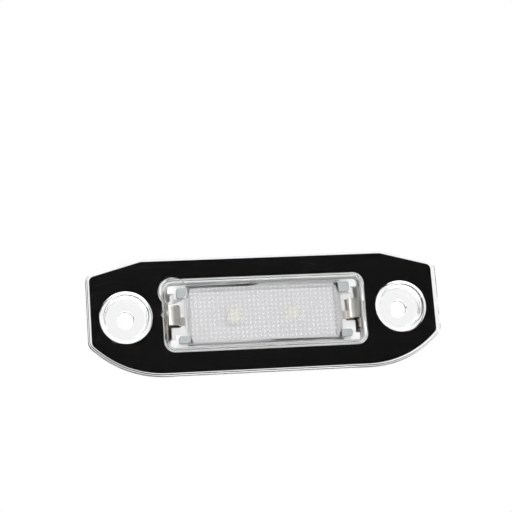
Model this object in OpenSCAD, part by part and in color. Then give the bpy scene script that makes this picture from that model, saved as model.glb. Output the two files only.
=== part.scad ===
// Number plate lamp for a car: a clear plate with two screw cups and a window, a black layer
// behind it, and a white box at the back that holds a small light board and a plug socket.
// Every piece is drawn lying on its back, x along the lamp, y up the plate, z out of the light,
// and then stood upright so that the lamp shines towards -Y. z = 0 is the rear face of the two
// screw bosses, which is where the lamp seats, and the origin is midway between the holes.

/* [Clear plate] */
// Height of the straight top edge above the line of the holes
top_edge = 17.05; // [16:0.05:19]
// How much deeper the straight bottom edge lies below the holes than the top edge above them
bottom_more = 0.45; // [0:0.05:1]
// Thickness of the plate
plate_t = 2.4; // [1.8:0.1:3]
// Width of the plate between each screw boss and the end of the plate
end_web = 3.5; // [3.2:0.1:5]
// Length of each sloping end of the top edge
slope_run = 15.8; // [13:0.1:18]
// Angle at which the top edge slopes down to the ends
slope_angle = 15.3; // [10:0.1:20]
// Distance from the end of the plate to the centre of the large lower corner curve
belly_in = 21.8; // [19:0.1:24]
// Height of that centre above the line of the holes
belly_rise = 12.05; // [10.5:0.05:13.5]
// Radius that rounds the upper end corners
upper_corner_r = 2.6; // [1.8:0.1:3.5]
// Radius that rounds the lower end corners
lower_corner_r = 3; // [2.6:0.1:4]
// Inset of the small step along the front edge
front_step = 0.3; // [0.15:0.05:0.45]

/* [Screw cups] */
// Distance between the two screw holes
hole_spacing = 80; // [78:0.5:82]
// Diameter of the screw holes
hole_d = 4.8; // [4:0.1:5.5]
// Outside diameter of the bosses
boss_d = 15; // [14.4:0.1:15.4]
// Height from the seat of the bosses to the front of the plate
boss_h = 6.3; // [5.8:0.1:7.5]
// Thickness of the wall between cup and boss at the front
cup_wall = 1.15; // [0.9:0.05:1.5]
// Draft of the cup's wall, from its mouth to its floor
cup_draft = 0.5; // [0.2:0.1:0.8]
// Thickness of the cup floor under the screw head
cup_floor_t = 2; // [1.5:0.1:2.5]

/* [Black layer] */
// Thickness of the black layer
mask_t = 0.5; // [0.3:0.1:0.8]
// Width of the clear rim left round the black layer
rim_w = 1.05; // [0.6:0.05:1.5]
// Width of the plate between each screw boss and the window
side_web = 2.85; // [2.6:0.05:4]
// Height of the black band above the window
top_band = 6.35; // [6:0.05:8]
// Corner radius of the window
window_r = 3.3; // [2.6:0.1:4]
// Diameter of the round moulding mark at the upper left corner of the window
mark_d = 8.3; // [7.5:0.1:8.6]
// Distance of that mark's centre from the left edge of the window
mark_in_x = 3.16; // [2.8:0.02:3.6]
// Distance of that mark's centre from the top edge of the window
mark_in_y = 3.83; // [3.4:0.01:4.2]
// Width of the groove round that mark
mark_line = 0.35; // [0.2:0.05:0.6]
// Depth of that groove and of the gate mark
mark_depth = 0.2; // [0.1:0.05:0.4]
// Diameter of the small gate mark on the left edge of the window
gate_d = 2; // [1.4:0.1:2.4]

/* [Light box] */
// Wall of the clear skirt behind the window
skirt_wall = 1.1; // [0.9:0.1:1.2]
// Depth of the clear skirt behind the plate
skirt_depth = 4.5; // [4.2:0.1:5.5]
// Gap between pieces that slide into each other
fit_gap = 0.1; // [0.05:0.01:0.15]
// Wall of the rear box round the skirt
box_wall = 1.45; // [1.2:0.05:1.5]
// Depth of the hollow of the rear box behind the seat
box_depth = 7.8; // [7.4:0.1:10]
// Thickness of the back of the rear box
box_back = 1.4; // [1:0.1:2]

/* [Optic plate] */
// Side of one square pillow of the optic plate
pillow_pitch = 1.3; // [1.2:0.02:1.32]
// Room at the tray's ends beyond the pillows
field_end = 6.25; // [6.2:0.05:7.5]
// Room at the tray's long sides beyond the pillows
field_side = 1.3; // [1.2:0.05:2]
// Height of a pillow
pillow_h = 0.35; // [0.2:0.05:0.4]
// Plain border at the two ends of the pillows
optic_end = 1.1; // [1:0.05:1.2]
// Plain border above and below the pillows
optic_side = 0.9; // [0.6:0.05:1]
// Thickness of the optic plate without its pillows
optic_t = 1.4; // [1.1:0.1:1.5]

/* [Tray and board] */
// Distance from the ends of the window to the white tray
tray_end = 1.95; // [1.4:0.05:2.5]
// Distance from the long sides of the window to the white tray
tray_side = 1.6; // [1.3:0.05:2]
// Thickness of the white tray
tray_t = 1.4; // [1.2:0.1:1.8]
// Depth of the tray's front face behind the clear plate
tray_drop = 2.2; // [2.2:0.1:2.6]
// Thickness of the light board
board_t = 1.6; // [1:0.1:1.8]
// Distance between the middles of the two light emitters
emitter_spacing = 17; // [12:0.5:24]
// Side of one light emitter
emitter_w = 5; // [4:0.1:5.5]

/* [Contacts and plug] */
// Thickness of the contact strip
contact_t = 0.3; // [0.2:0.05:0.4]
// Run of the contact's bowed top along the lamp
contact_run = 3.5; // [3:0.1:4]
// Thickness of the supply strips and blades
strip_t = 0.8; // [0.6:0.05:0.85]
// Width of the plug blades
blade_w = 4.8; // [4:0.1:5]
// Distance between the two plug blades
blade_pitch = 5.6; // [5.4:0.1:6]
// Distance from the end of the rear box to the middle of the plug socket
socket_end = 14.1; // [12:0.1:30]
// Inside length of the plug socket
socket_len = 13.6; // [13:0.1:15]
// Inside height of the plug socket
socket_h = 7.6; // [7:0.1:9]
// Depth of the plug socket
socket_depth = 8; // [7:0.5:12]
// Wall of the plug socket
socket_wall = 1.4; // [1:0.1:1.8]

/* [Hidden] */
$fn = 64;
hole_x = hole_spacing / 2;
plate_len = hole_spacing + boss_d + 2 * end_web;
bottom_edge = top_edge + bottom_more;
slope_start = plate_len / 2 - slope_run;
belly_x = plate_len / 2 - belly_in;
belly_r = bottom_edge + belly_rise;
cup_mouth_d = boss_d - 2 * cup_wall;
cup_floor_d = cup_mouth_d - 2 * cup_draft;
window_len = hole_spacing - boss_d - 2 * side_web;
window_h = 2 * (top_edge - top_band);
plate_back = boss_h - plate_t;
mask_back = plate_back - mask_t;
curve_steps = 14;
corner_steps = 6;
least_corner_r = 0.5;
cut = 1;

// The skirt fills the window and the rear box closes round it.
skirt_len = window_len - 2 * fit_gap;
skirt_h = window_h - 2 * fit_gap;
skirt_r = window_r - fit_gap;
skirt_end = plate_back - skirt_depth;
box_in_len = skirt_len + 2 * fit_gap;
box_in_h = skirt_h + 2 * fit_gap;
box_len = box_in_len + 2 * box_wall;
box_h = box_in_h + 2 * box_wall;
box_r = window_r + box_wall;
ledge_w = skirt_wall / 2;
hollow_len = skirt_len - 2 * ledge_w;
box_floor = -box_depth;
box_rear = box_floor - box_back;
rib_x = 0.32 * box_len;
rib_w = 1.2;
rib_out = 0.8;

tray_front = plate_back - tray_drop;
tray_rear = tray_front - tray_t;
optic_front = tray_front + optic_t;
tray_len = window_len - 2 * tray_end;
tray_h = window_h - 2 * tray_side;
pillow_cols = floor((tray_len - 2 * field_end) / pillow_pitch + 0.01);
pillow_rows = floor((tray_h - 2 * field_side) / pillow_pitch + 0.01);
field_len = pillow_cols * pillow_pitch;
field_h = pillow_rows * pillow_pitch;
optic_len = field_len + 2 * optic_end;
optic_h = field_h + 2 * optic_side;
optic_seat = 1.2;

// The board lies against the rear of the tray, on four posts.
board_in = 0.8;
board_len = tray_len - 2 * board_in;
board_h = tray_h - board_in / 2;
board_slot_gap = 0.2;
hollow_h = board_h + 2 * fit_gap;
board_rear = tray_rear - board_t;
post_d = 2.6;
post_x = board_len / 2 - post_d / 2;
post_y = board_h / 2 - post_d / 2;

// The ends of tray and board step in twice to make room for the contacts.
notch_outer_w = 1.7;
notch_outer_h = 0.747 * tray_h;
notch_inner_h = 0.56 * tray_h;
notch_gap = 0.35;
notch_inner_x = optic_len / 2 + notch_gap;
pad_w = 1.3;

// The chips on the rear of the board stand on a grid of equal steps.
chip_step = board_len / 13.45;
chip_l = 3.2;
chip_w = 1.6;
chip_gap = 0.45;
chip_row = 1.5 * chip_w + chip_gap + chip_l / 2;
resistor_t = 0.6;
capacitor_t = 1.2;
chip_lift = 0.15;
leg_w = 0.45;
leg_out = 0.9;
leg_t = 0.25;
package_w = 3.9;
package_t = 1.5;
bridge_l = 4.8;
bridge_pitch = 2.6;
driver_l = 4.9;
driver_pitch = 1.27;

emitter_drop = 0.2;
emitter_h = tray_t - emitter_drop;
well_d = emitter_w - 1;
well_depth = 0.4;
phosphor_drop = 0.05;

clip_len = 3.3;
clip_lip = 0.7;
clip_r = 0.7;
clip_out_y = tray_h / 2 - 1.05;
clip_high = 0.165 * tray_h;
clip_low = 0.115 * tray_h;
clip_gap = 0.1;
clip_lip_t = 0.4;

gasket_inset = 1.4;

contact_top = plate_back - 0.3;
contact_out = hollow_len / 2 - strip_t - fit_gap;
contact_in = contact_out - contact_run;
contact_w = 0.569 * notch_inner_h;
contact_mid_y = 0.2;
contact_bend = 0.35;
contact_bow = 0.35;
contact_bow_steps = 8;
tongue_w = 0.42 * contact_w;
tongue_end = notch_inner_x + fit_gap;
tongue_y = contact_mid_y - contact_w / 4;
knee_h = 1.3;

strip_overlap = 1.8;
strip_x = contact_out + strip_t / 2;
strip_w = contact_w;
strip_y = -notch_inner_h / 6;
strip_top = skirt_end - 0.2;
strip_run = box_floor + strip_t / 2;
socket_x = box_len / 2 - socket_end;
blade_in = 1;
blade_chamfer = 1;
blade_tip = box_rear - socket_depth + blade_in;
key_w = 4;
key_out = 1;
socket_r = 0.8;

// Points along an arc round c with radius r, from angle a0 to a1.
function arc(c, r, a0, a1, n) = [for (i = [0:n]) let (a = a0 + (a1 - a0) * i / n) c + r * [cos(a), sin(a)]];

// Right half of the lamp's outline, from the bottom edge round the end to the top edge, with
// every line and arc moved outwards by g.
function half_outline(g) =
    let (x_end = plate_len / 2 + g, y_top = top_edge + g,
         big = belly_r + g, big_c = [belly_x, belly_r - bottom_edge],
         low = max(lower_corner_r + g, least_corner_r), up = max(upper_corner_r + g, least_corner_r),
         low_x = x_end - low,
         low_c = [low_x, big_c[1] - sqrt(pow(big - low, 2) - pow(low_x - belly_x, 2))],
         meet = atan2(low_c[1] - big_c[1], low_c[0] - big_c[0]),
         slope_x = slope_start + g * tan(slope_angle / 2),
         up_x = x_end - up,
         up_c = [up_x, y_top - (up_x - slope_x) * tan(slope_angle) - up / cos(slope_angle)])
    concat(arc(big_c, big, -90, meet, curve_steps),
           arc(low_c, low, meet + 8, 0, corner_steps),
           arc(up_c, up, 0, 90 - slope_angle, corner_steps),
           [[slope_x, y_top]]);

function flip_x(points) = [for (i = [len(points) - 1:-1:0]) [-points[i][0], points[i][1]]];

// Outline of a strip of thickness t that is folded along the points of path.
function unit(v) = v / norm(v);
function left_of(v) = [-v[1], v[0]];
function fold_side(path, d) = [for (i = [0:len(path) - 1])
    let (a = left_of(unit(i > 0 ? path[i] - path[i - 1] : path[1] - path[0])),
         b = left_of(unit(i < len(path) - 1 ? path[i + 1] - path[i] : path[i] - path[i - 1])),
         m = unit(a + b))
    path[i] + m * d / (m * a)];
function fold_outline(path, t) =
    let (back = fold_side(path, -t / 2))
    concat(fold_side(path, t / 2), [for (i = [len(back) - 1:-1:0]) back[i]]);

module upright() {
    rotate([90, 0, 0]) children();
}

module lamp_outline(g) {
    polygon(concat(half_outline(g), flip_x(half_outline(g))));
}

module slab(z0, z1) {
    translate([0, 0, z0]) linear_extrude(z1 - z0) children();
}

module round_rect(l, h, r) {
    square([l, h - 2 * r], center = true);
    square([l - 2 * r, h], center = true);
    for (x = [-1, 1], y = [-1, 1]) translate([x * (l / 2 - r), y * (h / 2 - r)]) circle(r);
}

module at_holes() {
    for (x = [-hole_x, hole_x]) translate([x, 0, 0]) children();
}

module at_moulding_mark() {
    translate([-window_len / 2 + mark_in_x, window_h / 2 - mark_in_y]) children();
}

module at_gate_mark() {
    translate([-window_len / 2 + gate_d / 4, 0.45]) children();
}

// The clear plate, its two bosses with the screw cups, the skirt behind the window, and the marks
// that the mould leaves on the front: a ring groove at one corner of the window and a gate mark.
module front_lens() {
    color("aliceblue") upright() difference() {
        union() {
            slab(plate_back, boss_h - front_step) lamp_outline(0);
            slab(boss_h - front_step - fit_gap, boss_h) lamp_outline(-front_step);
            at_holes() cylinder(h = plate_back + fit_gap, d = boss_d);
            slab(skirt_end, plate_back + fit_gap) difference() {
                round_rect(skirt_len, skirt_h, skirt_r);
                round_rect(skirt_len - 2 * skirt_wall, skirt_h - 2 * skirt_wall, skirt_r - skirt_wall);
            }
        }
        at_holes() {
            translate([0, 0, cup_floor_t])
                cylinder(h = boss_h - cup_floor_t + 0.001, d1 = cup_floor_d, d2 = cup_mouth_d);
            translate([0, 0, -cut]) cylinder(h = boss_h, d = hole_d);
        }
        slab(boss_h - mark_depth, boss_h + cut) {
            at_moulding_mark() difference() {
                circle(d = mark_d);
                circle(d = mark_d - 2 * mark_line);
            }
            at_gate_mark() circle(d = gate_d);
        }
    }
}

// The black layer leaves the rim, the bosses, the window and two moulding marks clear.
module black_layer() {
    color("black") upright() slab(mask_back, plate_back) difference() {
        lamp_outline(-rim_w);
        round_rect(window_len, window_h, window_r);
        at_moulding_mark() circle(d = mark_d);
        at_gate_mark() circle(d = gate_d);
        at_holes() circle(d = boss_d + 2 * fit_gap);
    }
}

// Height of the pillow surface at grid point i, j: full at a centre, half at the middle of a side,
// and none at a corner or along the edge of the field.
function pillow_z(i, j, nx, ny) = i % nx == 0 || j % ny == 0 ? 0 : pillow_h * (i % 2 + j % 2) / 2;

// The clear plate with its field of pillows, as one closed surface: each pillow is a square dome
// that meets its neighbours in curved valleys, and a plain border runs round the field.
module optic_plate() {
    nx = 2 * pillow_cols;
    ny = 2 * pillow_rows;
    step = pillow_pitch / 2;
    rim = (nx + 1) * (ny + 1);
    base = rim + 4;
    corners = [[-1, -1], [1, -1], [1, 1], [-1, 1]] / 2;
    function id(i, j) = j * (nx + 1) + i;
    field = [for (j = [0:ny], i = [0:nx])
        [i * step - field_len / 2, j * step - field_h / 2, pillow_z(i, j, nx, ny)]];
    border = [for (z = [0, -optic_t], c = corners) [c[0] * optic_len, c[1] * optic_h, z]];
    domes = [for (j = [0:ny - 1], i = [0:nx - 1], half = [0, 1])
        let (a = id(i, j), b = id(i + 1, j), c = id(i + 1, j + 1), d = id(i, j + 1))
        (i + j) % 2 == 0 ? (half == 0 ? [a, c, b] : [a, d, c]) : (half == 0 ? [a, d, b] : [b, d, c])];
    ring = [
        concat([rim], [for (i = [0:nx]) id(i, 0)], [rim + 1]),
        concat([rim + 1], [for (j = [0:ny]) id(nx, j)], [rim + 2]),
        concat([rim + 2], [for (i = [nx:-1:0]) id(i, ny)], [rim + 3]),
        concat([rim + 3], [for (j = [ny:-1:0]) id(0, j)], [rim])];
    walls = [for (k = [0:3]) let (n = (k + 1) % 4) [base + n, base + k, rim + k, rim + n]];
    floor_face = [[base, base + 1, base + 2, base + 3]];
    color("gainsboro") upright() translate([0, 0, optic_front])
        polyhedron(concat(field, border), concat(domes, ring, walls, floor_face), convexity = 4);
}

// One clip: a lug that stands on the tray beside the optic plate, with its outer corners rounded,
// and a lip that reaches over the plate's border.
module clip(side, level, h) {
    inner = optic_len / 2 + clip_gap;
    lug = clip_len - clip_lip;
    color("silver") upright() scale([side, level, 1]) {
        slab(tray_front, optic_front + clip_lip_t) translate([inner, clip_out_y - h]) {
            square([lug - clip_r, h]);
            translate([0, clip_r]) square([lug, h - 2 * clip_r]);
            for (y = [clip_r, h - clip_r]) translate([lug - clip_r, y]) circle(clip_r);
        }
        slab(optic_front, optic_front + clip_lip_t)
            translate([inner - clip_lip, clip_out_y - h]) square([clip_lip + clip_r, h]);
    }
}

// The tray is a frame under the rim of the optic plate, and its ends step in round the contacts.
module reflector_tray() {
    color("white") upright() slab(tray_rear, tray_front) difference() {
        round_rect(tray_len, tray_h, 1);
        for (s = [-1, 1]) {
            translate([s * (tray_len - notch_outer_w), 0]) square([tray_len, notch_outer_h], center = true);
            translate([s * (notch_inner_x + tray_len / 2), 0]) square([tray_len, notch_inner_h], center = true);
        }
        round_rect(optic_len - 2 * optic_seat, optic_h - 2 * optic_seat, 1);
    }
}

// The board has one slot at each end for the contact, beyond the pad that its tongue stands on.
module light_board() {
    color("honeydew") upright() slab(board_rear, tray_rear) difference() {
        round_rect(board_len, board_h, 1);
        for (s = [-1, 1]) translate([s * (notch_inner_x + pad_w + board_len / 2), contact_mid_y])
            square([board_len, contact_w + 2 * board_slot_gap], center = true);
    }
}

module at_emitters() {
    for (s = [-1, 1]) translate([s * emitter_spacing / 2, 0, tray_rear]) children();
}

module emitter_bodies() {
    color("ivory") upright() at_emitters() difference() {
        translate([-emitter_w / 2, -emitter_w / 2, 0]) cube([emitter_w, emitter_w, emitter_h]);
        translate([0, 0, emitter_h - well_depth]) cylinder(h = well_depth + cut, d = well_d);
    }
}

module emitter_phosphors() {
    color("khaki") upright() at_emitters() translate([0, 0, emitter_h - well_depth])
        cylinder(h = well_depth - phosphor_drop, d = well_d - fit_gap);
}

// A flat chip on the rear face of the board, centred at x, y.
module rear_chip(x, y, size) {
    translate([x - size[0] / 2, y - size[1] / 2, board_rear - size[2]]) cube(size);
}

module resistors() {
    color("dimgray") upright() for (step = [-4.25, -3.25, -2.25, 2.5], row = [-1, 1])
        rear_chip(step * chip_step, row * chip_row, [chip_w, chip_l, resistor_t]);
}

module capacitors() {
    color("tan") upright() for (row = [-1, 1])
        rear_chip(-3.75 * chip_step, row * chip_w, [chip_l, chip_w, capacitor_t]);
}

// A moulded chip body raised on two rows of small bent legs.
module legged_chip(x, y, size, legs, leg_pitch) {
    translate([x - size[0] / 2, y - size[1] / 2, board_rear - chip_lift - size[2]]) cube(size);
    for (i = [0:legs - 1], s = [-1, 1])
        translate([x + (i - (legs - 1) / 2) * leg_pitch - leg_w / 2, y, board_rear])
            rotate([90, 0, 90]) linear_extrude(leg_w) scale([s, 1])
                polygon(fold_outline([[size[1] / 2 - 0.1, -size[2] / 2], [size[1] / 2 + leg_out / 2, -size[2] / 2],
                                      [size[1] / 2 + leg_out / 2, -leg_t / 2], [size[1] / 2 + leg_out, -leg_t / 2]],
                                     leg_t));
}

module bridge_rectifier() {
    color("darkslategray") upright() legged_chip(-0.75 * chip_step, 0, [bridge_l, package_w, package_t], 2, bridge_pitch);
}

module current_driver() {
    color("darkslategray") upright() legged_chip(1.125 * chip_step, 0, [driver_l, package_w, package_t], 4, driver_pitch);
}

// One contact: a strip folded up from the supply strip, over a bowed top and down again, with a
// narrow tongue that goes on down to its pad on the board.
module contact(side) {
    leg_x = contact_out - contact_t / 2;
    inner_x = contact_in + contact_t / 2;
    top_z = contact_top - contact_t / 2;
    foot_z = tray_rear + contact_t / 2;
    knee_z = tray_rear + knee_h;
    shoulder_z = top_z - contact_bow - contact_bend;
    shoulder = [inner_x, shoulder_z];
    arch = [for (i = [0:contact_bow_steps]) let (s = 0.96 * (1 - 2 * i / contact_bow_steps))
        [(leg_x + inner_x) / 2 + s * (leg_x - inner_x) / 2, top_z - contact_bow * s * s]];
    bow = concat([[leg_x, skirt_end - strip_overlap], [leg_x, shoulder_z]], arch, [shoulder, [inner_x, knee_z]]);
    tongue = [shoulder, [inner_x, foot_z + contact_bend], [inner_x - contact_bend, foot_z],
              [tongue_end, foot_z]];
    color("darkkhaki") upright() scale([side, 1, 1]) {
        translate([0, contact_mid_y + contact_w / 2, 0]) rotate([90, 0, 0])
            linear_extrude(contact_w) polygon(fold_outline(bow, contact_t));
        translate([0, tongue_y + tongue_w / 2, 0]) rotate([90, 0, 0])
            linear_extrude(tongue_w) polygon(fold_outline(tongue, contact_t));
    }
}

// One supply strip: up the end wall under the skirt, and along the back to its blade.
module supply_strip(side, end_x) {
    path = [[side * strip_x, strip_top], [side * strip_x, strip_run], [end_x, strip_run]];
    color("peru") upright() translate([0, strip_y + strip_w / 2, 0]) rotate([90, 0, 0])
        linear_extrude(strip_w) polygon(fold_outline(path, strip_t));
}

// One plug blade, standing against the end of its strip, with a chamfered tip in the socket.
module plug_blade(side) {
    tip = blade_chamfer;
    top = box_floor + strip_t;
    color("goldenrod") upright() translate([socket_x + side * blade_pitch / 2 + strip_t / 2, strip_y, 0])
        rotate([0, -90, 0]) linear_extrude(strip_t)
            polygon([[top, -blade_w / 2], [top, blade_w / 2], [blade_tip + tip, blade_w / 2],
                     [blade_tip, blade_w / 2 - tip], [blade_tip, tip - blade_w / 2], [blade_tip + tip, -blade_w / 2]]);
}

module flange_gasket() {
    gasket_in = rim_w + gasket_inset;
    color("dimgray") upright() slab(0, mask_back) difference() {
        lamp_outline(-gasket_in);
        round_rect(box_len + 2 * fit_gap, box_h + 2 * fit_gap, box_r + fit_gap);
        at_holes() circle(d = boss_d + 2 * fit_gap);
    }
}

// The rear box: walls round the skirt, a ledge that the skirt stands on, four posts for the
// board, and a plug socket moulded on its back.
module rear_box() {
    color("snow") upright() {
        difference() {
            union() {
                slab(box_rear, mask_back) round_rect(box_len, box_h, box_r);
                slab(box_rear, -0.5) for (x = [-rib_x, 0, rib_x])
                    translate([x, 0]) square([rib_w, box_h + 2 * rib_out], center = true);
                translate([socket_x, strip_y, 0]) slab(box_rear - socket_depth, box_rear + 0.5) {
                    round_rect(socket_len + 2 * socket_wall, socket_h + 2 * socket_wall, 2);
                    translate([0, socket_h / 2 + socket_wall]) square([key_w, 2 * key_out], center = true);
                }
            }
            slab(skirt_end, mask_back + cut) round_rect(box_in_len, box_in_h, window_r);
            slab(box_floor, skirt_end + cut) round_rect(hollow_len, hollow_h, window_r - ledge_w);
            translate([socket_x, strip_y, 0]) {
                slab(box_rear - socket_depth - cut, box_rear) round_rect(socket_len, socket_h, socket_r);
                for (s = [-1, 1]) slab(box_rear - cut, box_floor + cut) translate([s * blade_pitch / 2, 0])
                    square([strip_t + 2 * fit_gap, blade_w + 2 * fit_gap], center = true);
            }
        }
        for (x = [-post_x, post_x], y = [-post_y, post_y])
            translate([x, y, box_floor - 0.1]) cylinder(h = board_rear - box_floor + 0.1, d = post_d);
    }
}

front_lens();
black_layer();
optic_plate();
clip(-1, 1, clip_high);  // clip_upper_left
clip(1, 1, clip_high);  // clip_upper_right
clip(-1, -1, clip_low);  // clip_lower_left
clip(1, -1, clip_low);  // clip_lower_right
reflector_tray();
light_board();
emitter_bodies();
emitter_phosphors();
resistors();
bridge_rectifier();
current_driver();
capacitors();
contact(-1);  // left_contact
contact(1);  // right_contact
supply_strip(-1, socket_x - blade_pitch / 2 - strip_t / 2);  // left_supply_strip
supply_strip(1, socket_x + blade_pitch / 2 + strip_t / 2);  // right_supply_strip
plug_blade(-1);  // left_plug_blade
plug_blade(1);  // right_plug_blade
flange_gasket();
rear_box();
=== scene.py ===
import math
import bmesh
import bpy
import numpy as np
from mathutils import Matrix, Vector
from mathutils.geometry import tessellate_polygon


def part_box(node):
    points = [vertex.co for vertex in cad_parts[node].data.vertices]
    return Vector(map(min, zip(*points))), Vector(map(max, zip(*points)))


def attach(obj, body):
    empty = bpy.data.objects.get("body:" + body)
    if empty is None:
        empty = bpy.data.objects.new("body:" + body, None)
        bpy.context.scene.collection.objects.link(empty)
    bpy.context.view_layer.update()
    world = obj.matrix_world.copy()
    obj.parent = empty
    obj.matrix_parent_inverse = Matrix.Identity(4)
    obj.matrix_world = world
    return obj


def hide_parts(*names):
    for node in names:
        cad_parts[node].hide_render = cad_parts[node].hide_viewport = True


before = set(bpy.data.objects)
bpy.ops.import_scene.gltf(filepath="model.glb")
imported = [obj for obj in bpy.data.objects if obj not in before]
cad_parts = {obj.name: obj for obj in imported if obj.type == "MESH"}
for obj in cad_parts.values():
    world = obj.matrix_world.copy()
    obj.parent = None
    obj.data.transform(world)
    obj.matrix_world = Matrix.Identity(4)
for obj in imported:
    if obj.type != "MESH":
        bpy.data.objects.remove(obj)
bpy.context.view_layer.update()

# Camera. The photograph was taken from the lower left, a little off square, with a long lens.
# It stands 440 mm in front of the lamp and is tipped a few degrees to the left.
scene = bpy.context.scene
MM = 0.001
camera_place = Vector((-73.4, -440.3, -87.7)) * MM
camera_aim = Vector((-1.52, -4.79, 16.51)) * MM
camera_roll = math.radians(-4.28)
camera_lens_mm = 110.2


def point_at(obj, target, roll=0.0):
    """Turn obj so that its -Z axis looks at target with its X axis level, then roll it about that axis."""
    level = (obj.location - target).to_track_quat("Z", "Y").to_matrix().to_4x4()
    obj.rotation_euler = (level @ Matrix.Rotation(roll, 4, "Z")).to_euler()


camera = bpy.data.objects.new("camera", bpy.data.cameras.new("camera"))
scene.collection.objects.link(camera)
camera.location = camera_place
camera.data.lens = camera_lens_mm
camera.data.clip_start = 0.01
camera.data.clip_end = 20
point_at(camera, camera_aim, camera_roll)
scene.camera = camera

# Rear box: the white housing behind the flange, moulded in one with its stiffening ribs, the four
# board posts and the plug socket. White filled plastic with a fine spark-eroded grain outside and
# the soft radii that a mould leaves on every edge.
box_white = (0.86, 0.86, 0.85, 1)
box_edge_r = 0.18 * MM
sharp_angle = math.radians(30)
flat_angle = math.radians(0.4)
weld_distance = 0.0005 * MM


def new_group(name, inputs, outputs):
    """An empty shader node group with float or colour sockets, given as (name, default) pairs."""
    group = bpy.data.node_groups.new(name, "ShaderNodeTree")
    for socket_name, default in inputs:
        kind = "NodeSocketColor" if isinstance(default, tuple) else "NodeSocketFloat"
        socket = group.interface.new_socket(socket_name, in_out="INPUT", socket_type=kind)
        socket.default_value = default
    for socket_name, kind in outputs:
        group.interface.new_socket(socket_name, in_out="OUTPUT", socket_type=kind)
    return group, group.nodes.new("NodeGroupInput"), group.nodes.new("NodeGroupOutput")


def join(tree, *pairs):
    """Link each (from socket, to socket) pair."""
    for source, target in pairs:
        tree.links.new(source, target)


def maths(tree, operation, a, b=None, c=None):
    """A Math node whose inputs are sockets or numbers; returns its output."""
    step = tree.nodes.new("ShaderNodeMath")
    step.operation = operation
    for slot, value in zip(step.inputs, (a, b, c)):
        if value is None:
            continue
        if isinstance(value, (int, float)):
            slot.default_value = value
        else:
            tree.links.new(value, slot)
    return step.outputs[0]


def noise(tree, vector, scale, detail):
    """A Noise texture read at vector; returns its factor."""
    texture = tree.nodes.new("ShaderNodeTexNoise")
    texture.inputs["Scale"].default_value = scale
    texture.inputs["Detail"].default_value = detail
    tree.links.new(vector, texture.inputs["Vector"])
    return texture.outputs[0]


def place_group(tree, group, **values):
    """Put a node group into a material, with its own input values."""
    node = tree.nodes.new("ShaderNodeGroup")
    node.node_tree = group
    for name, value in values.items():
        node.inputs[name.replace("_", " ")].default_value = value
    return node


def make_moulded_surface():
    """Plastic off a mould: fine grain as height, slow change of gloss, and a slight mottle of the colour."""
    group, inside, out = new_group(
        "moulded_surface",
        [("Colour", (0.8, 0.8, 0.8, 1)), ("Grain Scale", 6000.0), ("Gloss", 0.4), ("Gloss Spread", 0.12),
         ("Mottle", 0.03)],
        [("Colour", "NodeSocketColor"), ("Roughness", "NodeSocketFloat"), ("Height", "NodeSocketFloat")])
    coords = group.nodes.new("ShaderNodeTexCoord").outputs["Object"]
    grain = group.nodes.new("ShaderNodeTexNoise")
    grain.inputs["Detail"].default_value = 3
    join(group, (coords, grain.inputs["Vector"]), (inside.outputs["Grain Scale"], grain.inputs["Scale"]))
    slow = noise(group, coords, 140, 3)
    centred = maths(group, "SUBTRACT", slow, 0.5)
    rough = maths(group, "MULTIPLY_ADD", centred, inside.outputs["Gloss Spread"], inside.outputs["Gloss"])
    shade = maths(group, "MULTIPLY_ADD", centred, inside.outputs["Mottle"], 1.0)
    tint = group.nodes.new("ShaderNodeMix")
    tint.data_type = "RGBA"
    tint.blend_type = "MULTIPLY"
    tint.inputs["Factor"].default_value = 1
    grey = group.nodes.new("ShaderNodeCombineColor")
    join(group, (shade, grey.inputs[0]), (shade, grey.inputs[1]), (shade, grey.inputs[2]),
         (inside.outputs["Colour"], tint.inputs["A"]), (grey.outputs[0], tint.inputs["B"]),
         (tint.outputs["Result"], out.inputs["Colour"]), (rough, out.inputs["Roughness"]),
         (grain.outputs[0], out.inputs["Height"]))
    return group


moulded_surface = make_moulded_surface()


def new_material(name, **values):
    """A material with one Principled shader whose constant sockets are set by name."""
    material = bpy.data.materials.new(name)
    material.use_nodes = True
    shader = material.node_tree.nodes["Principled BSDF"]
    for socket, value in values.items():
        shader.inputs[socket.replace("_", " ")].default_value = value
    return material, material.node_tree, shader


def bump(tree, shader, height, distance):
    """Feed height, in units of distance, to the shader's normal."""
    node = tree.nodes.new("ShaderNodeBump")
    node.inputs["Strength"].default_value = 1
    node.inputs["Distance"].default_value = distance
    join(tree, (height, node.inputs["Height"]), (node.outputs["Normal"], shader.inputs["Normal"]))


def moulded_plastic(name, colour, gloss, spread=0.12, grain_scale=6000.0, grain_depth=0.004 * MM,
                    mottle=0.03):
    """Opaque moulded plastic made with the moulded_surface group."""
    material, tree, shader = new_material(name, IOR=1.5)
    skin = place_group(tree, moulded_surface, Colour=colour, Grain_Scale=grain_scale, Gloss=gloss,
                       Gloss_Spread=spread, Mottle=mottle)
    join(tree, (skin.outputs["Colour"], shader.inputs["Base Color"]),
         (skin.outputs["Roughness"], shader.inputs["Roughness"]))
    bump(tree, shader, skin.outputs["Height"], grain_depth)
    return material


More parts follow.
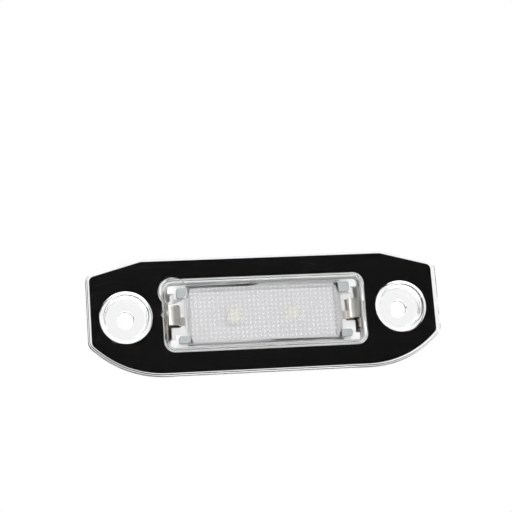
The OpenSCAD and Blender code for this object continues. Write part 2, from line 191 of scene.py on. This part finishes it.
def dress(names, material, edge_r=0.0):
    """Give CAD nodes a material, smooth shading between sharp edges, and rounded edges of radius edge_r."""
    for name in names:
        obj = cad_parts[name]
        obj.data.materials.clear()
        obj.data.materials.append(material)
        obj.data.polygons.foreach_set("use_smooth", np.ones(len(obj.data.polygons), bool))
        weld = obj.modifiers.new("weld", "WELD")
        weld.merge_threshold = weld_distance
        if edge_r:
            flats = obj.modifiers.new("flats", "DECIMATE")
            flats.decimate_type = "DISSOLVE"
            flats.angle_limit = flat_angle
            rounding = obj.modifiers.new("rounding", "BEVEL")
            rounding.width = edge_r
            rounding.segments = 2
            rounding.limit_method = "ANGLE"
            rounding.angle_limit = sharp_angle
            rounding.harden_normals = True
        else:
            split = obj.modifiers.new("sharp_edges", "EDGE_SPLIT")
            split.split_angle = sharp_angle


white_box = moulded_plastic("white_box", box_white, 0.42)
dress(["rear_box"], white_box, box_edge_r)

# Supply strips and plug blades: tinned bronze strip, stamped and bent, that carries the current
# from the plug to the two contacts. The blades are bright, the strips inside have dulled.


def make_rolled_strip():
    """Strip off a roll: streaks along one axis, and slow cloudy tarnish, both from 0 to 1."""
    group, inside, out = new_group(
        "rolled_strip", [("Streak Scale", 9000.0), ("Tarnish Scale", 500.0)],
        [("Streak", "NodeSocketFloat"), ("Tarnish", "NodeSocketFloat")])
    coords = group.nodes.new("ShaderNodeTexCoord").outputs["Object"]
    stretch = group.nodes.new("ShaderNodeMapping")
    stretch.inputs["Scale"].default_value = (0.04, 0.04, 1.0)
    streak = group.nodes.new("ShaderNodeTexNoise")
    streak.inputs["Detail"].default_value = 2
    cloud = group.nodes.new("ShaderNodeTexNoise")
    cloud.inputs["Detail"].default_value = 4
    join(group, (coords, stretch.inputs["Vector"]), (stretch.outputs[0], streak.inputs["Vector"]),
         (inside.outputs["Streak Scale"], streak.inputs["Scale"]), (coords, cloud.inputs["Vector"]),
         (inside.outputs["Tarnish Scale"], cloud.inputs["Scale"]),
         (streak.outputs[0], out.inputs["Streak"]), (cloud.outputs[0], out.inputs["Tarnish"]))
    return group


rolled_strip = make_rolled_strip()


def strip_metal(name, bright, dull, gloss, spread):
    """Plated strip metal: tarnish takes the colour from bright to dull, and streaks change the gloss."""
    material, tree, shader = new_material(name, Metallic=1.0)
    strip = place_group(tree, rolled_strip)
    blend = tree.nodes.new("ShaderNodeMix")
    blend.data_type = "RGBA"
    blend.inputs["A"].default_value = bright
    blend.inputs["B"].default_value = dull
    rough = maths(tree, "MULTIPLY_ADD", strip.outputs["Streak"], spread, gloss)
    join(tree, (strip.outputs["Tarnish"], blend.inputs["Factor"]),
         (blend.outputs["Result"], shader.inputs["Base Color"]), (rough, shader.inputs["Roughness"]))
    bump(tree, shader, strip.outputs["Streak"], 0.002 * MM)
    return material


bronze_strip = strip_metal("bronze_strip", (0.42, 0.34, 0.27, 1), (0.24, 0.2, 0.17, 1), 0.3, 0.25)
tinned_blade = strip_metal("tinned_blade", (0.74, 0.73, 0.7, 1), (0.5, 0.49, 0.46, 1), 0.2, 0.2)
dress(["left_supply_strip", "right_supply_strip"], bronze_strip, 0.08 * MM)
dress(["left_plug_blade", "right_plug_blade"], tinned_blade, 0.12 * MM)

# Light board: a white-masked circuit board against the back of the tray. The chips of its supply
# stand on the rear face, and the two light emitters on the front.
board_laminate = moulded_plastic("board_laminate", (0.84, 0.83, 0.83, 1), 0.3, 0.1, 3000.0, 0.003 * MM, 0.05)
dress(["light_board"], board_laminate, 0.05 * MM)
emitter_ceramic = moulded_plastic("emitter_ceramic", (0.86, 0.85, 0.825, 1), 0.35, 0.1)
dress(["emitter_bodies"], emitter_ceramic, 0.08 * MM)
yellow_phosphor = moulded_plastic("yellow_phosphor", (0.9, 0.885, 0.8, 1), 0.45, 0.1, 2500.0, mottle=0.12)
dress(["emitter_phosphors"], yellow_phosphor)
resistor_ceramic = moulded_plastic("resistor_ceramic", (0.02, 0.02, 0.022, 1), 0.25, 0.1, 4000.0)
dress(["resistors"], resistor_ceramic, 0.05 * MM)
chip_plastic = moulded_plastic("chip_plastic", (0.018, 0.018, 0.02, 1), 0.55, 0.15, 9000.0, 0.006 * MM)
dress(["bridge_rectifier", "current_driver"], chip_plastic)
capacitor_ceramic = moulded_plastic("capacitor_ceramic", (0.3, 0.2, 0.12, 1), 0.4, 0.1, 5000.0)
dress(["capacitors"], capacitor_ceramic, 0.06 * MM)

# Reflector tray: the white frame under the optic plate, notched at its ends for the contacts.
white_tray = moulded_plastic("white_tray", (0.84, 0.83, 0.83, 1), 0.35)
dress(["reflector_tray"], white_tray, 0.12 * MM)

# Optic plate: clear, with 33 by 12 square pillow lenses moulded on its front face. Each pillow is
# a shallow dome that spreads the light of the two emitters over the number plate.
optic_low, optic_high = (np.array(corner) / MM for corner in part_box("optic_plate"))
pillow_cols, pillow_rows = 33, 12
pillow_pitch = 1.3
pillow_h = 0.35
pillow_steps = 8
clear_ior = 1.585


def upright(points):
    """Points drawn in millimetres, x along the lamp, y up the plate and z out of the light, in the frame."""
    points = np.asarray(points, float)
    return np.stack([points[..., 0], -points[..., 2], points[..., 1]], -1) * MM


def new_piece(name, vertices, faces, material, replaces=None, smooth_angle=None):
    """A mesh piece that rides with the lamp. Edges that turn by over smooth_angle degrees stay sharp."""
    mesh = bpy.data.meshes.new(name)
    mesh.from_pydata([tuple(v) for v in vertices], [], [tuple(int(i) for i in f) for f in faces])
    mesh.validate()
    mesh.materials.append(material)
    if smooth_angle is not None:
        mesh.polygons.foreach_set("use_smooth", np.ones(len(mesh.polygons), bool))
        mesh.set_sharp_from_angle(angle=math.radians(smooth_angle))
    obj = bpy.data.objects.new(name, mesh)
    scene.collection.objects.link(obj)
    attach(obj, "root")
    if replaces:
        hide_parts(replaces)
    return obj


def grid_faces(rows, cols):
    """Quads between neighbouring points of a rows by cols grid that is stored row after row."""
    a = np.arange(rows - 1)[:, None] * cols + np.arange(cols - 1)[None, :]
    return np.stack([a, a + 1, a + cols + 1, a + cols], -1).reshape(-1, 4)


def pillow_plate():
    """Front: height = pillow_h (1 - (p^2 + q^2) / 2), where p and q run from -1 to 1 across each pillow,
    and 0 along the field's edge. A plain border, four sides and a flat back close the plate."""
    nx, ny = pillow_cols * pillow_steps, pillow_rows * pillow_steps
    x = np.linspace(-0.5, 0.5, nx + 1) * pillow_cols * pillow_pitch
    y = np.linspace(-0.5, 0.5, ny + 1) * pillow_rows * pillow_pitch
    p = 2 * ((np.arange(nx + 1) / pillow_steps) % 1) - 1
    q = 2 * ((np.arange(ny + 1) / pillow_steps) % 1) - 1
    height = pillow_h * (1 - (p[None, :] ** 2 + q[:, None] ** 2) / 2)
    height[[0, -1], :] = 0
    height[:, [0, -1]] = 0
    front = -optic_low[1] - pillow_h
    back = -optic_high[1]
    grid_x, grid_y = np.meshgrid(x, y)
    field = np.stack([grid_x, grid_y, height + front], -1).reshape(-1, 3)
    half_l, half_h = (optic_high[0] - optic_low[0]) / 2, (optic_high[2] - optic_low[2]) / 2
    soft = 0.15
    rings = []
    for inset, z in ((soft, front), (0.045, front - 0.045), (0, front - soft), (0, back)):
        rings += [(-half_l + inset, -half_h + inset, z), (half_l - inset, -half_h + inset, z),
                  (half_l - inset, half_h - inset, z), (-half_l + inset, half_h - inset, z)]
    vertices = np.concatenate([field, np.array(rings)])
    n = len(field)
    faces = grid_faces(ny + 1, nx + 1).tolist()
    row = lambda j: [j * (nx + 1) + i for i in range(nx + 1)]
    column = lambda i: [j * (nx + 1) + i for j in range(ny + 1)]
    edges = [row(0), column(nx), row(ny)[::-1], column(0)[::-1]]
    for k, edge in enumerate(edges):
        faces.append([n + k] + [n + (k + 1) % 4] + edge[::-1])
        for level in range(3):
            a, b = n + 4 * level + k, n + 4 * level + (k + 1) % 4
            faces.append([a, a + 4, b + 4, b])
    faces.append([n + 15, n + 14, n + 13, n + 12])
    return upright(vertices), faces


optic_polycarbonate, optic_tree, optic_shader = new_material(
    "optic_polycarbonate", Base_Color=(0.98, 0.98, 0.985, 1), Roughness=0.09, IOR=clear_ior,
    Transmission_Weight=1.0)
optic_noise = noise(optic_tree, optic_tree.nodes.new("ShaderNodeTexCoord").outputs["Object"], 900, 2)
bump(optic_tree, optic_shader, optic_noise, 0.004 * MM)
optic_vertices, optic_faces = pillow_plate()
new_piece("pillow_optic", optic_vertices, optic_faces, optic_polycarbonate,
          "optic_plate", 40)

# Clips: four natural grey lugs at the corners of the optic plate that hold it on the tray.
grey_clip = moulded_plastic("grey_clip", (0.33, 0.34, 0.34, 1), 0.3, 0.1)
dress(["clip_upper_left", "clip_upper_right", "clip_lower_left", "clip_lower_right"], grey_clip, 0.15 * MM)

# Contacts: nickel plated spring strip, folded up over the ends of the board with a bowed top, and
# a narrower tongue that runs down to its solder pad.
nickel_contact = strip_metal("nickel_contact", (0.79, 0.77, 0.73, 1), (0.62, 0.59, 0.55, 1), 0.28, 0.16)
contact_t = 0.3
contact_fold_r = 0.45
contact_leg_gap = 3.5
contact_bow = 0.25


def rounded_path(points, radius, steps=6):
    """The polyline through points with each corner replaced by an arc of radius, as far as the legs allow."""
    points = np.asarray(points, float)
    out = [points[:1]]
    for before, corner, after in zip(points[:-2], points[1:-1], points[2:]):
        to_before, to_after = before - corner, after - corner
        reach_before, reach_after = np.linalg.norm(to_before), np.linalg.norm(to_after)
        to_before, to_after = to_before / reach_before, to_after / reach_after
        half = math.acos(np.clip(np.dot(to_before, to_after), -1, 1)) / 2
        back = min(radius / math.tan(half), 0.48 * reach_before, 0.48 * reach_after)
        fold = back * math.tan(half)
        middle_way = (to_before + to_after) / np.linalg.norm(to_before + to_after)
        middle = corner + middle_way * fold / math.sin(half)
        start, end = corner + to_before * back - middle, corner + to_after * back - middle
        share = np.linspace(0, 1, steps + 1)[:, None]
        turn = math.pi - 2 * half
        swing = np.sin((1 - share) * turn) * start + np.sin(share * turn) * end
        out.append(middle + swing / math.sin(turn))
    return np.concatenate(out + [points[-1:]])


def folded_strip(path, y_low, y_high, thickness, edge=0.05):
    """A strip of the given thickness along path in x and z, from y_low to y_high, as one ring of section
    points at each point of the path. Across, its section is a rectangle with its four long edges eased by
    edge."""
    along = np.gradient(path, axis=0)
    along /= np.linalg.norm(along, axis=1)[:, None]
    outward = np.stack([-along[:, 1], along[:, 0]], -1)
    half = thickness / 2
    section = np.array([(half, y_low + edge), (half, y_high - edge), (half - edge, y_high),
                        (edge - half, y_high), (-half, y_high - edge), (-half, y_low + edge),
                        (edge - half, y_low), (half - edge, y_low)])
    flat = path[:, None, :] + outward[:, None, :] * section[None, :, :1]
    across = np.broadcast_to(section[None, :, 1:], (len(path), 8, 1))
    return np.concatenate([flat[..., :1], across, flat[..., 1:]], -1)


def closed_tube(rings):
    """Vertices and faces of a tube through rings of points, closed at both ends."""
    count, size = rings.shape[:2]
    a = np.arange(count - 1)[:, None] * size + np.arange(size)[None, :]
    b = np.arange(count - 1)[:, None] * size + (np.arange(size)[None, :] + 1) % size
    quads = np.stack([a, b, b + size, a + size], -1).reshape(-1, 4).tolist()
    caps = [list(range(size))[::-1], [(count - 1) * size + i for i in range(size)]]
    return rings.reshape(-1, 3), quads + caps


def shell(parts):
    """Several (vertices, faces) lists as one, numbered on."""
    vertices, faces, first = [], [], 0
    for part_vertices, part_faces in parts:
        vertices.append(np.asarray(part_vertices, float))
        faces += [[first + i for i in face] for face in part_faces]
        first += len(part_vertices)
    return np.concatenate(vertices), faces


def outward_mesh(obj, join_distance=1e-7, sharp=35.0):
    """Merge the doubles of a closed mesh, point its faces outwards and mark its sharp edges."""
    work = bmesh.new()
    work.from_mesh(obj.data)
    bmesh.ops.remove_doubles(work, verts=work.verts, dist=join_distance)
    bmesh.ops.recalc_face_normals(work, faces=work.faces)
    work.to_mesh(obj.data)
    work.free()
    obj.data.set_sharp_from_angle(angle=math.radians(sharp))
    even = obj.modifiers.new("even_shading", "WEIGHTED_NORMAL")
    even.keep_sharp = True


def contact(side):
    """One contact from its CAD box: leg, bow over the top, leg down to the knee; and the tongue."""
    low, high = (np.array(corner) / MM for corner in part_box(side + "_contact"))
    mirror = 1 if side == "right" else -1
    x_out, x_pad = max(abs(low[0]), abs(high[0])), min(abs(low[0]), abs(high[0]))
    top, foot = -low[1], -high[1]
    y_low, y_high = low[2], high[2]
    leg_x, inner_x = x_out - contact_t / 2, x_out - contact_leg_gap + contact_t / 2
    pad_z = 0.3 + contact_t / 2
    top_z = top - contact_t / 2
    share = np.linspace(0.86, -0.86, 11)
    arch_x = (leg_x + inner_x) / 2 + share * (leg_x - inner_x) / 2
    arch = np.stack([arch_x, top_z - contact_bow * share ** 2], -1)
    shoulder_z = top_z - 0.7
    bow = np.concatenate([[[leg_x, foot], [leg_x, shoulder_z]], arch,
                          [[inner_x, shoulder_z], [inner_x, 1.6]]])
    tongue = np.array([[inner_x, shoulder_z - 0.3], [inner_x, pad_z], [x_pad, pad_z]])
    width = y_high - y_low
    tongue_mid, tongue_half = (y_low + y_high) / 2 - width / 4, 0.21 * width
    parts = [closed_tube(folded_strip(rounded_path(bow, contact_fold_r), y_low, y_high, contact_t)),
             closed_tube(folded_strip(rounded_path(tongue, contact_fold_r), tongue_mid - tongue_half,
                                      tongue_mid + tongue_half, contact_t * 0.96))]
    vertices, faces = shell(parts)
    vertices[:, 0] *= mirror
    obj = new_piece(side + "_folded_contact", upright(vertices), faces, nickel_contact,
                    side + "_contact", 40)
    outward_mesh(obj)


for side in ("left", "right"):
    contact(side)

# Black layer: an opaque gloss black coat against the back of the clear plate. Under the plate show
# the odd speck of dust, a few hairline scratches and a faint cloudiness of the coat.
ink_black = (0.0014, 0.0010, 0.0009, 1)
ink_dust = (0.03, 0.03, 0.031, 1)


def make_dust_and_hairs():
    """Dust: the small cores of scattered Voronoi cells, kept where a random value of the cell is low.
    Hairs: thin lines where a stretched noise crosses its middle value, kept in patches."""
    group, inside, out = new_group(
        "dust_and_hairs",
        [("Dust Scale", 700.0), ("Dust Size", 0.12), ("Dust Share", 0.12), ("Hair Scale", 260.0)],
        [("Dust", "NodeSocketFloat"), ("Hairs", "NodeSocketFloat"), ("Cloud", "NodeSocketFloat")])
    coords = group.nodes.new("ShaderNodeTexCoord").outputs["Object"]
    cells = group.nodes.new("ShaderNodeTexVoronoi")
    join(group, (coords, cells.inputs["Vector"]), (inside.outputs["Dust Scale"], cells.inputs["Scale"]))
    chance = group.nodes.new("ShaderNodeSeparateColor")
    join(group, (cells.outputs["Color"], chance.inputs[0]))
    core = maths(group, "LESS_THAN", cells.outputs["Distance"], inside.outputs["Dust Size"])
    kept = maths(group, "LESS_THAN", chance.outputs[0], inside.outputs["Dust Share"])
    dust = maths(group, "MULTIPLY", maths(group, "MULTIPLY", core, kept), chance.outputs[1])
    turn = group.nodes.new("ShaderNodeMapping")
    turn.inputs["Rotation"].default_value = (0, 0.5, 0)
    turn.inputs["Scale"].default_value = (0.12, 1, 1)
    wander = group.nodes.new("ShaderNodeTexNoise")
    wander.inputs["Detail"].default_value = 1
    join(group, (coords, turn.inputs["Vector"]), (turn.outputs[0], wander.inputs["Vector"]),
         (inside.outputs["Hair Scale"], wander.inputs["Scale"]))
    crossing = maths(group, "ABSOLUTE", maths(group, "SUBTRACT", wander.outputs[0], 0.5))
    cloud = noise(group, coords, 60, 2)
    hairs = maths(group, "MULTIPLY", maths(group, "LESS_THAN", crossing, 0.0035),
                  maths(group, "GREATER_THAN", cloud, 0.56))
    join(group, (dust, out.inputs["Dust"]), (hairs, out.inputs["Hairs"]), (cloud, out.inputs["Cloud"]))
    return group


black_ink, black_tree, black_shader = new_material("black_ink", IOR=1.5, Specular_IOR_Level=0.04)
specks = place_group(black_tree, make_dust_and_hairs())
marks = maths(black_tree, "MAXIMUM", specks.outputs["Dust"],
              maths(black_tree, "MULTIPLY", specks.outputs["Hairs"], 0.3))
ink_mix = black_tree.nodes.new("ShaderNodeMix")
ink_mix.data_type = "RGBA"
ink_mix.inputs["A"].default_value = ink_black
ink_mix.inputs["B"].default_value = ink_dust
ink_rough = maths(black_tree, "MULTIPLY_ADD", specks.outputs["Cloud"], 0.3, 0.3)
join(black_tree, (marks, ink_mix.inputs["Factor"]),
     (ink_mix.outputs["Result"], black_shader.inputs["Base Color"]),
     (ink_rough, black_shader.inputs["Roughness"]))
dress(["black_layer"], black_ink)

# Clear plate: one injection moulding in clear polycarbonate, polished on both faces, with the two
# screw cups and the skirt behind the window. The mould leaves a small step along the front edge,
# a ring groove at one corner of the window and a shallow gate mark beside it.
plate_front, plate_back = 6.3, 3.88
half_len, top_edge, bottom_edge = 51.0, 17.05, 17.5
slope_start, slope_angle = 35.2, math.radians(15.3)
belly_x, belly_r = 29.2, 29.55
upper_corner_r, lower_corner_r = 2.6, 3.0
hole_x = 40.0
mark_at, mark_r, mark_line, mark_depth = np.array([-26.49, 6.87]), 4.15, 0.35, 0.2
gate_at, gate_r = np.array([-29.15, 0.45]), 1.0
skirt_len, skirt_h, skirt_r, skirt_wall, skirt_end = 59.1, 21.2, 3.2, 1.1, -0.57

clear_polycarbonate, clear_tree, clear_shader = new_material(
    "clear_polycarbonate", Base_Color=(0.985, 0.99, 0.992, 1), Roughness=0.0, IOR=clear_ior,
    Transmission_Weight=1.0)
flow_waves = noise(clear_tree, clear_tree.nodes.new("ShaderNodeTexCoord").outputs["Object"], 120, 1)
bump(clear_tree, clear_shader, flow_waves, 0.006 * MM)


def arc_points(centre, radius, start, end, steps):
    """Points on a circle round centre, from angle start to angle end."""
    angle = np.linspace(start, end, steps + 1)[:, None]
    return np.asarray(centre) + radius * np.concatenate([np.cos(angle), np.sin(angle)], 1)


def plate_outline(grow):
    """The lamp's outline moved outwards by grow. On the right, the straight bottom edge runs into a large
    arc, a small corner arc, the end, a small upper corner arc and the slope to the straight top edge. The
    left half mirrors it."""
    big, low, up = belly_r + grow, lower_corner_r + grow, upper_corner_r + grow
    centre = np.array([belly_x, belly_r - bottom_edge])
    low_x = half_len + grow - low
    low_centre = np.array([low_x, centre[1] - math.sqrt((big - low) ** 2 - (low_x - centre[0]) ** 2)])
    meet = math.atan2(*(low_centre - centre)[::-1])
    slope_x, up_x = slope_start + grow * math.tan(slope_angle / 2), half_len + grow - up
    up_y = top_edge + grow - (up_x - slope_x) * math.tan(slope_angle) - up / math.cos(slope_angle)
    half = np.concatenate([arc_points(centre, big, -math.pi / 2, meet, 48),
                           arc_points(low_centre, low, meet + 0.1, 0, 10),
                           arc_points((up_x, up_y), up, 0, math.pi / 2 - slope_angle, 12),
                           [[slope_x + 0.5, top_edge + grow - 0.5 * math.tan(slope_angle)],
                            [slope_x - 0.5, top_edge + grow]]])
    return np.concatenate([half, half[::-1] * (-1, 1)])


def window_outline(grow):
    """A rectangle with round corners, moved outwards by grow."""
    x, y, r = skirt_len / 2 - skirt_r, skirt_h / 2 - skirt_r, skirt_r + grow
    corners = [((x, y), 0), ((-x, y), math.pi / 2), ((-x, -y), math.pi), ((x, -y), 1.5 * math.pi)]
    return np.concatenate([arc_points(c, r, a, a + math.pi / 2, 12) for c, a in corners])


def circle_outline(centre, radius, steps=96):
    """A circle of points."""
    return arc_points(centre, radius, 0, 2 * math.pi, steps)[:-1]


def ring_band(outlines, heights):
    """A band through closed outlines, each at its own height."""
    rings = np.stack([np.concatenate([o, np.full((len(o), 1), z)], 1) for o, z in zip(outlines, heights)])
    count, size = rings.shape[:2]
    a = np.arange(count - 1)[:, None] * size + np.arange(size)[None, :]
    b = np.arange(count - 1)[:, None] * size + (np.arange(size)[None, :] + 1) % size
    return rings.reshape(-1, 3), np.stack([a, b, b + size, a + size], -1).reshape(-1, 4).tolist()


def flat_region(outlines, z):
    """A flat face at height z, bounded by the first outline, with the others as holes."""
    loops = [[Vector((x, y, 0)) for x, y in outline] for outline in outlines]
    points = np.concatenate(outlines)
    vertices = np.concatenate([points, np.full((len(points), 1), z)], 1)
    return vertices, [list(triangle) for triangle in tessellate_polygon(loops)]


def eased(start, end, steps=5):
    """Quarter of an ellipse in a profile, from point start to point end."""
    (x0, z0), (x1, z1), share = start, end, np.linspace(0, math.pi / 2, steps + 1)
    return [(x0 + (x1 - x0) * math.sin(t), z1 + (z0 - z1) * math.cos(t)) for t in share]


def clear_plate():
    """The closed surface of the plate: flats joined by bands along the outline, the cups, the marks and the
    skirt. Each band carries a profile of (outward move or radius, height) pairs round its outline."""
    edge = ([(-0.62, plate_front)] + eased((-0.55, plate_front), (-0.3, plate_front - 0.22))
            + [(-0.3, 6.03), (-0.25, 6.0)] + eased((-0.18, 6.0), (0, 5.84))
            + [(0, 4.1)] + [(-0.03, 4.0), (-0.1, 3.94), (-0.2, plate_back)])
    cup = ([(6.62, plate_front), (6.55, plate_front), (6.44, plate_front - 0.04),
            (6.37, plate_front - 0.15),
            (6.34, plate_front - 0.3), (5.9, 2.6), (5.85, 2.3), (5.74, 2.1), (5.5, 2.01), (5.3, 2.0),
            (2.6, 2.0), (2.5, 1.98), (2.42, 1.92), (2.4, 1.8), (2.4, 0.2), (2.43, 0.08), (2.5, 0.02),
            (2.62, 0.0), (7.2, 0.0), (7.38, 0.04), (7.47, 0.13), (7.5, 0.3), (7.5, plate_back)])
    skirt = ([(0, plate_back), (0, skirt_end + 0.25), (-0.03, skirt_end + 0.12), (-0.1, skirt_end + 0.03),
              (-0.22, skirt_end), (-skirt_wall + 0.22, skirt_end), (-skirt_wall + 0.1, skirt_end + 0.03),
              (-skirt_wall + 0.03, skirt_end + 0.12), (-skirt_wall, skirt_end + 0.25),
              (-skirt_wall, plate_back - 0.25), (-skirt_wall - 0.07, plate_back - 0.07),
              (-skirt_wall - 0.25, plate_back)])
    groove = ([(mark_r + 0.06, plate_front), (mark_r - 0.03, plate_front - 0.05),
               (mark_r - 0.11, plate_front - mark_depth),
              (mark_r - mark_line + 0.11, plate_front - mark_depth),
               (mark_r - mark_line + 0.03, plate_front - 0.05), (mark_r - mark_line - 0.06, plate_front)])
    gate = [(gate_r, plate_front), (gate_r - 0.1, plate_front - 0.06), (gate_r - 0.35, plate_front - 0.16),
            (0.3, plate_front - mark_depth)]
    holes = [np.array([-hole_x, 0]), np.array([hole_x, 0])]
    parts = [ring_band([plate_outline(g) for g, _ in edge], [z for _, z in edge]),
             ring_band([window_outline(g) for g, _ in skirt], [z for _, z in skirt]),
             ring_band([circle_outline(mark_at, r) for r, _ in groove], [z for _, z in groove]),
             ring_band([circle_outline(gate_at, r, 32) for r, _ in gate], [z for _, z in gate])]
    parts += [ring_band([circle_outline(h, r) for r, _ in cup], [z for _, z in cup]) for h in holes]
    parts += [flat_region([plate_outline(edge[0][0])] + [circle_outline(h, cup[0][0]) for h in holes]
                          + [circle_outline(mark_at, groove[0][0]), circle_outline(gate_at, gate[0][0], 32)],
                          plate_front),
              flat_region([circle_outline(mark_at, groove[-1][0])], plate_front),
              flat_region([circle_outline(gate_at, gate[-1][0], 32)], gate[-1][1]),
              flat_region([plate_outline(edge[-1][0])] + [circle_outline(h, cup[-1][0]) for h in holes]
                          + [window_outline(0)], plate_back),
              flat_region([window_outline(skirt[-1][0])], plate_back)]
    return shell(parts)


plate_vertices, plate_faces = clear_plate()
clear_piece = new_piece("clear_moulding", upright(plate_vertices), plate_faces, clear_polycarbonate,
                        "front_lens", 35)
outward_mesh(clear_piece, 2e-6, 32)

# Gasket: a die-cut sheet of closed-cell foam behind the flange, black and softly rough.
foam_rubber = moulded_plastic("foam_rubber", (0.02, 0.02, 0.021, 1), 0.85, 0.1, 2600.0, 0.03 * MM, 0.3)
dress(["flange_gasket"], foam_rubber, 0.2 * MM)

# Studio: a white table and a white wall behind the lamp, with the darker room and one bright
# window of light in front, where the camera stands. Each kind of ray meets its own surround.
floor_z = -0.13
floor_half = 3.0
outer_light = 0.78
outer_key = 0.42
inner_light = 3.7
mirror_light = 0.06
room_light = 0.28
dark_light = 0.05
wall_light = 1.0
softbox_light = 4.4
softbox_size = math.radians(35)
softbox_from = Vector((-0.55, -0.60, 0.58)).normalized()
key_from = Vector((-0.45, -0.55, 0.70)).normalized()
world = bpy.data.worlds.new("studio")
scene.world = world
world.use_nodes = True
world_tree = world.node_tree
background = world_tree.nodes["Background"]
path = world_tree.nodes.new("ShaderNodeLightPath")
towards = world_tree.nodes.new("ShaderNodeTexCoord").outputs["Generated"]


def facing(direction):
    """Cosine between the ray and direction."""
    dot = world_tree.nodes.new("ShaderNodeVectorMath")
    dot.operation = "DOT_PRODUCT"
    dot.inputs[1].default_value = direction
    join(world_tree, (towards, dot.inputs[0]))
    return dot.outputs["Value"]


def ramp(value, start, end, low_value, high_value):
    """Smooth change from low_value at start to high_value at end."""
    node = world_tree.nodes.new("ShaderNodeMapRange")
    node.interpolation_type = "SMOOTHSTEP"
    for socket, setting in zip(node.inputs[1:5], (start, end, low_value, high_value)):
        socket.default_value = setting
    join(world_tree, (value, node.inputs[0]))
    return node.outputs[0]


def choose(switch, yes, no):
    """yes where switch is 1, and no where it is 0."""
    node = world_tree.nodes.new("ShaderNodeMix")
    for socket, value in ((node.inputs["Factor"], switch), (node.inputs["A"], no), (node.inputs["B"], yes)):
        if isinstance(value, (int, float)):
            socket.default_value = value
        else:
            join(world_tree, (value, socket))
    return node.outputs["Result"]


through = maths(world_tree, "GREATER_THAN", path.outputs["Transmission Depth"], 0.5)
scattered = maths(world_tree, "GREATER_THAN", path.outputs["Diffuse Depth"], 0.5)
key_glow = ramp(facing(key_from), -0.3, 1.0, outer_light, outer_light + outer_key)
behind = ramp(facing(Vector((0, 1, 0))), 0.62, 0.95, 0, wall_light - room_light)
around = ramp(facing(Vector((0, 1, 0))), -0.88, -0.6, dark_light, room_light)
room = maths(world_tree, "ADD", behind, around)
softbox = ramp(facing(softbox_from), math.cos(softbox_size * 1.15), math.cos(softbox_size * 0.85),
               0, softbox_light)
seen_through = maths(world_tree, "ADD", room, softbox)
lighting = choose(through, inner_light, key_glow)
looking = choose(through, seen_through, mirror_light)
light = choose(path.outputs["Is Camera Ray"], 1.0, choose(scattered, lighting, looking))
join(world_tree, (light, background.inputs["Strength"]))
background.inputs["Color"].default_value = (1, 1, 1, 1)

floor_mesh = bpy.data.meshes.new("floor")
floor_corners = [(x * floor_half, y * floor_half, floor_z) for x, y in ((-1, -1), (1, -1), (1, 1), (-1, 1))]
floor_mesh.from_pydata(floor_corners, [], [(0, 1, 2, 3)])
floor = bpy.data.objects.new("floor", floor_mesh)
scene.collection.objects.link(floor)
pale_floor = moulded_plastic("pale_floor", (0.9, 0.9, 0.9, 1), 0.9, 0.05, 40.0, 0.1 * MM, 0.01)
floor_mesh.materials.append(pale_floor)

scene.view_settings.view_transform = "Standard"
scene.cycles.max_bounces = 24
scene.cycles.transmission_bounces = 20
scene.cycles.glossy_bounces = 8
scene.cycles.diffuse_bounces = 8
